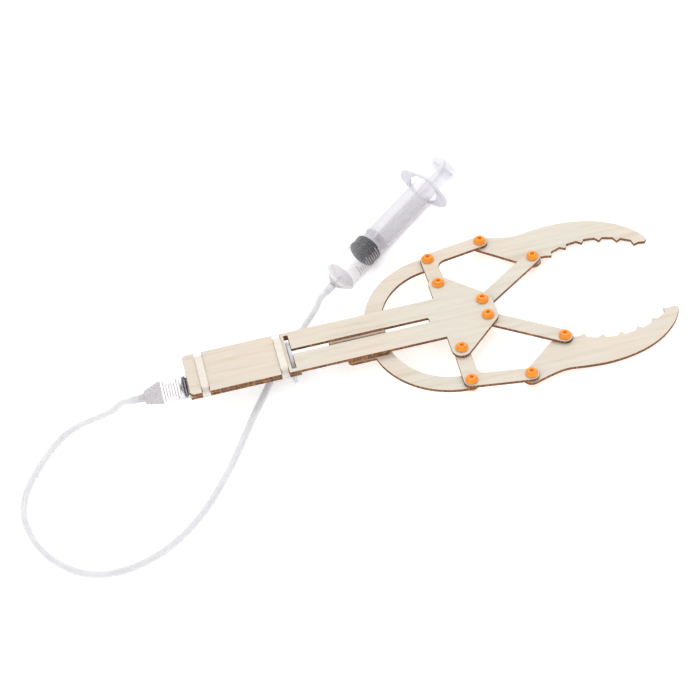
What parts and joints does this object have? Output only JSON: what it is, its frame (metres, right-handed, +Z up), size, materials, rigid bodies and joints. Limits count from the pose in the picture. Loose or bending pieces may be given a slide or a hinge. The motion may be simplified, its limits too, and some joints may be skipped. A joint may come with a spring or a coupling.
{
  "type": "hydraulic claw arm kit",
  "caption": "Flat plywood grabber claw with toothed jaws, driven through a clear hose by a hand-held syringe.",
  "frame": {"origin": "on the floor, under the middle of the claw and the hand syringe together", "axes": "+X along the claw from its handle to its jaws, +Y to the claw's left, +Z up"},
  "size_m": [0.4444, 0.2699, 0.028],
  "materials": {
    "plywood": "pale laser-cut plywood with a browned edge",
    "orange_plastic": "glossy orange moulded plastic",
    "clear_plastic": "clear moulded plastic, slightly cloudy",
    "white_plastic": "cloudy white moulded plastic",
    "black_rubber": "smooth black rubber",
    "nylon": "cloudy natural nylon",
    "hose_plastic": "clear soft hose"
  },
  "bodies": {
    "claw_frame": {"top_plate": "plywood", "backing_rail_left": "plywood", "backing_rail_right": "plywood", "claw_barrel": "clear_plastic", "cable_tie_rear": "nylon", "cable_tie_front": "nylon", "rivet_crank_pivot_left": "orange_plastic", "rivet_clip_crank_pivot_left": "orange_plastic", "rivet_crank_pivot_right": "orange_plastic", "rivet_clip_crank_pivot_right": "orange_plastic", "rivet_link_pivot_left": "orange_plastic", "rivet_clip_link_pivot_left": "orange_plastic", "rivet_link_pivot_right": "orange_plastic", "rivet_clip_link_pivot_right": "orange_plastic", "hose": "hose_plastic", "hand_barrel": "clear_plastic"},
    "slider": {"slider_plate": "plywood", "slider_spacer": "plywood", "guide_blade": "plywood", "claw_plunger": "white_plastic", "claw_gasket": "black_rubber"},
    "left_crank": {"crank_left": "plywood", "rivet_drive_left": "orange_plastic", "rivet_clip_drive_left": "orange_plastic", "rivet_jaw_left": "orange_plastic", "rivet_clip_jaw_left": "orange_plastic"},
    "left_link": {"link_left": "plywood", "rivet_jaw_link_left": "orange_plastic", "rivet_clip_jaw_link_left": "orange_plastic"},
    "left_jaw": {"jaw_left": "plywood"},
    "right_crank": {"crank_right": "plywood", "rivet_drive_right": "orange_plastic", "rivet_clip_drive_right": "orange_plastic", "rivet_jaw_right": "orange_plastic", "rivet_clip_jaw_right": "orange_plastic"},
    "right_link": {"link_right": "plywood", "rivet_jaw_link_right": "orange_plastic", "rivet_clip_jaw_link_right": "orange_plastic"},
    "right_jaw": {"jaw_right": "plywood"},
    "hand_rod": {"hand_plunger": "white_plastic", "hand_gasket": "black_rubber"}
  },
  "joints": [
    {"name": "slider_travel", "type": "slide", "parent": "claw_frame", "child": "slider", "axis": [0.9981, 0, -0.0616], "range_m": [-0.01, 0.0125]},
    {"name": "left_crank_pivot", "type": "hinge", "parent": "claw_frame", "child": "left_crank", "pos_m": [0.03492, -0.00996, 0.01253], "axis": [0.0616, 0, 0.9981], "range_deg": [-28.1, 22.5]},
    {"name": "left_link_pivot", "type": "hinge", "parent": "claw_frame", "child": "left_link", "pos_m": [0.05888, -0.03276, 0.01105], "axis": [0.0616, 0, 0.9981], "range_deg": [-27.1, 21.7]},
    {"name": "left_jaw_pivot", "type": "hinge", "parent": "left_crank", "child": "left_jaw", "pos_m": [0.072, 0.02204, 0.00773], "axis": [0.0616, 0, 0.9981], "range_deg": [-19.6, 24.4]},
    {"name": "right_crank_pivot", "type": "hinge", "parent": "claw_frame", "child": "right_crank", "pos_m": [0.03492, -0.06996, 0.01253], "axis": [0.0616, 0, 0.9981], "range_deg": [-22.5, 28.1]},
    {"name": "right_link_pivot", "type": "hinge", "parent": "claw_frame", "child": "right_link", "pos_m": [0.05888, -0.04716, 0.01105], "axis": [0.0616, 0, 0.9981], "range_deg": [-21.7, 27.1]},
    {"name": "right_jaw_pivot", "type": "hinge", "parent": "right_crank", "child": "right_jaw", "pos_m": [0.072, -0.10196, 0.00773], "axis": [0.0616, 0, 0.9981], "range_deg": [-24.4, 19.6]},
    {"name": "hand_rod_travel", "type": "slide", "parent": "claw_frame", "child": "hand_rod", "axis": [0.7782, 0.6279, 0.0116], "range_m": [-0.0065, 0.0053]}
  ],
  "couplings": [
    {"joint": "left_crank_pivot", "follows": "slider_travel", "rad_per_m": -39},
    {"joint": "left_link_pivot", "follows": "slider_travel", "rad_per_m": -37.5},
    {"joint": "left_jaw_pivot", "follows": "slider_travel", "rad_per_m": 33.8},
    {"joint": "right_crank_pivot", "follows": "slider_travel", "rad_per_m": 39},
    {"joint": "right_link_pivot", "follows": "slider_travel", "rad_per_m": 37.5},
    {"joint": "right_jaw_pivot", "follows": "slider_travel", "rad_per_m": -33.8},
    {"joint": "hand_rod_travel", "follows": "slider_travel", "ratio": -0.5023}
  ]
}
